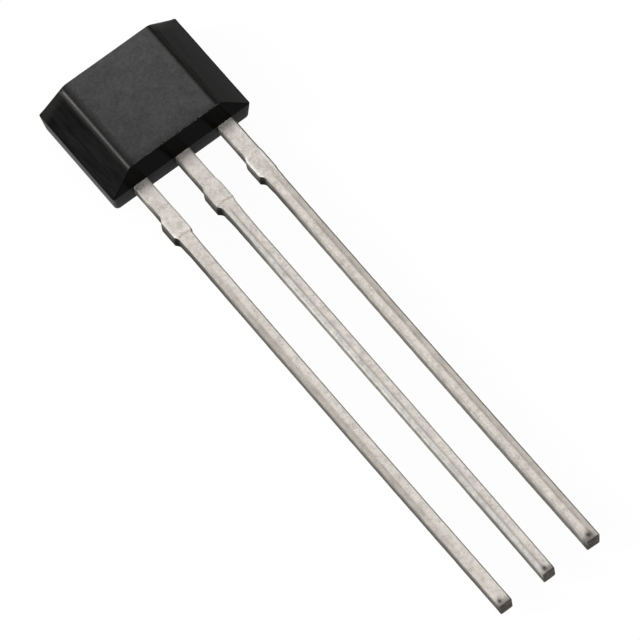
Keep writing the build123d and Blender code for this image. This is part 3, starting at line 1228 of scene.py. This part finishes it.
class SWITCH_OT_chip(bpy.types.Operator):
    """Finish the chip, its adhesive and its bond wires, which the package hides"""

    bl_idname = "magnetic_switch.chip"
    bl_label = "Chip and wires"

    def execute(self, context):
        colours = context.scene.switch_chip
        silicon = plain_finish(
            "silicon", colours.silicon_colour,
            metallic=0.6, roughness=0.2, scale=20000.0, contrast=0.1,
        )
        adhesive = plain_finish(
            "silver_adhesive", colours.adhesive_colour,
            metallic=0.8, roughness=0.5, scale=60000.0, contrast=0.35,
        )
        gold = plain_finish(
            "gold_wire", colours.gold_colour,
            metallic=1.0, roughness=0.25, scale=30000.0, contrast=0.08,
        )
        finishes = {"hall_die": silicon, "die_attach": adhesive}
        finishes.update({name: gold for name in BOND_WIRES})
        for node, material in finishes.items():
            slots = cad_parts[node].data.materials
            slots.clear()
            slots.append(material)
        return {"FINISHED"}


# ---------------------------------------------------------------- stage


# The floor lies just under the part, and mostly glows white where it is seen
FLOOR_GAP = 0.01 * MM
FLOOR_GLOW = 0.96
WORLD_STRENGTH = 0.8
# Key light: it stands to the left, beyond the package
KEY_DIRECTION = (-0.80, 0.40, 0.468)
KEY_DISTANCE = 0.45
KEY_WIDTH = 0.08
KEY_HEIGHT = 0.14
KEY_RADIANCE = 46.0
# The camera aims near the middle of the leads
AIM = (-0.08 * MM, -7.071 * MM, 0.31 * MM)
SENSOR_WIDTH = 36.0
CLIP_START = 0.01
CLIP_END = 20.0
WHITE = (1.0, 1.0, 1.0, 1.0)


def emptied(block):
    """The nodes of a material or world, with nothing in its tree yet."""
    block.use_nodes = True
    block.node_tree.nodes.clear()
    return Nodes(block.node_tree)


def seen_directly(nodes):
    """1 for rays that show a surface to the camera, straight or by a mirror or glass."""
    rays = nodes.add("ShaderNodeLightPath").outputs
    camera, glossy, through = (
        Field(nodes, rays[f"Is {kind} Ray"]) for kind in ("Camera", "Glossy", "Transmission")
    )
    return nodes.math("MAXIMUM", nodes.math("MAXIMUM", camera, glossy), through)


def floor_material(stage):
    """Pale matte floor that shows nearly white, and keeps a light shadow of the part."""
    material = bpy.data.materials.new("floor")
    nodes = emptied(material)
    matte = nodes.field("ShaderNodeBsdfDiffuse", {"Color": rgba(stage.floor_colour)})
    glow = nodes.field("ShaderNodeEmission", {"Color": WHITE, "Strength": 1.0})
    mixed = nodes.field("ShaderNodeMixShader", [seen_directly(nodes) * FLOOR_GLOW, matte, glow])
    nodes.add("ShaderNodeOutputMaterial", [mixed])
    return material


def world_light():
    """An even soft light, which shows white where the camera or a reflection sees it."""
    world = bpy.data.worlds.new("studio")
    bpy.context.scene.world = world
    nodes = emptied(world)
    even = nodes.field("ShaderNodeBackground", {"Color": WHITE, "Strength": WORLD_STRENGTH})
    white = nodes.field("ShaderNodeBackground", {"Color": WHITE, "Strength": 1.0})
    mixed = nodes.field("ShaderNodeMixShader", [seen_directly(nodes), even, white])
    nodes.add("ShaderNodeOutputWorld", [mixed])


def key_light():
    """A rectangular lamp of even radiance, which faces the origin."""
    lamp = bpy.data.lights.new("key", "AREA")
    lamp.shape = "RECTANGLE"
    lamp.size = KEY_WIDTH
    lamp.size_y = KEY_HEIGHT
    lamp.energy = KEY_RADIANCE * pi * KEY_WIDTH * KEY_HEIGHT
    box = bpy.data.objects.new("key", lamp)
    bpy.context.scene.collection.objects.link(box)
    towards = Vector(KEY_DIRECTION).normalized()
    box.location = towards * KEY_DISTANCE
    box.rotation_euler = towards.to_track_quat("Z", "Y").to_euler()


def floor_sheet(stage):
    """The square floor of the stage."""
    half = stage.floor_size / 2
    signs = ((-1, -1), (1, -1), (1, 1), (-1, 1))
    corners = [(half * across, half * along, -FLOOR_GAP) for across, along in signs]
    mesh = bpy.data.meshes.new("floor")
    mesh.from_pydata(corners, [], [(0, 1, 2, 3)])
    mesh_object("floor", mesh, floor_material(stage))


def main_camera(stage):
    """The scene's camera, turned round the part, raised, and rolled about its own axis."""
    data = bpy.data.cameras.new("camera")
    data.lens = stage.lens
    data.sensor_width = SENSOR_WIDTH
    data.clip_start = CLIP_START
    data.clip_end = CLIP_END
    camera = bpy.data.objects.new("camera", data)
    bpy.context.scene.collection.objects.link(camera)
    azimuth, elevation = stage.camera_azimuth, stage.camera_elevation
    back = Vector(
        (sin(azimuth) * cos(elevation), -cos(azimuth) * cos(elevation), sin(elevation))
    )
    turn = back.to_track_quat("Z", "Y").to_matrix()
    turn @= Matrix.Rotation(stage.camera_roll, 3, "Z")
    camera.location = Vector(AIM) + back * stage.camera_distance
    camera.rotation_euler = turn.to_euler()
    bpy.context.scene.camera = camera


class SWITCH_OT_stage(bpy.types.Operator):
    """Set up the floor, the lights and the camera"""

    bl_idname = "magnetic_switch.stage"
    bl_label = "Stage"

    def execute(self, context):
        stage = context.scene.switch_stage
        context.scene.view_settings.view_transform = "Standard"
        floor_sheet(stage)
        world_light()
        key_light()
        main_camera(stage)
        return {"FINISHED"}


# ---------------------------------------------------------------- panel and registration


class SWITCH_PT_panel(bpy.types.Panel):
    """Settings and build steps of the magnetic switch"""

    bl_idname = "SWITCH_PT_panel"
    bl_label = "Magnetic switch"
    bl_space_type = "VIEW_3D"
    bl_region_type = "UI"
    bl_category = "Magnetic switch"

    def draw(self, context):
        for operator, settings in STEPS:
            box = self.layout.box()
            box.operator(operator.bl_idname, text=operator.bl_label)
            group = getattr(context.scene, settings)
            for name in group.__annotations__:
                box.prop(group, name)


STEPS = (
    (SWITCH_OT_stage, "switch_stage"),
    (SWITCH_OT_moulding, "switch_moulding"),
    (SWITCH_OT_leads, "switch_leads"),
    (SWITCH_OT_chip, "switch_chip"),
)
SETTINGS = {
    "switch_stage": StageSettings,
    "switch_moulding": MouldingSettings,
    "switch_leads": LeadSettings,
    "switch_chip": ChipSettings,
}
CLASSES = (*SETTINGS.values(), *(operator for operator, _ in STEPS), SWITCH_PT_panel)


def register():
    for cls in CLASSES:
        bpy.utils.register_class(cls)
    for name, group in SETTINGS.items():
        setattr(bpy.types.Scene, name, PointerProperty(type=group))


def unregister():
    for name in SETTINGS:
        delattr(bpy.types.Scene, name)
    for cls in reversed(CLASSES):
        bpy.utils.unregister_class(cls)


def main():
    register()
    bpy.ops.magnetic_switch.stage()
    bpy.ops.magnetic_switch.moulding()
    bpy.ops.magnetic_switch.leads()
    bpy.ops.magnetic_switch.chip()


if __name__ == "__main__":
    main()
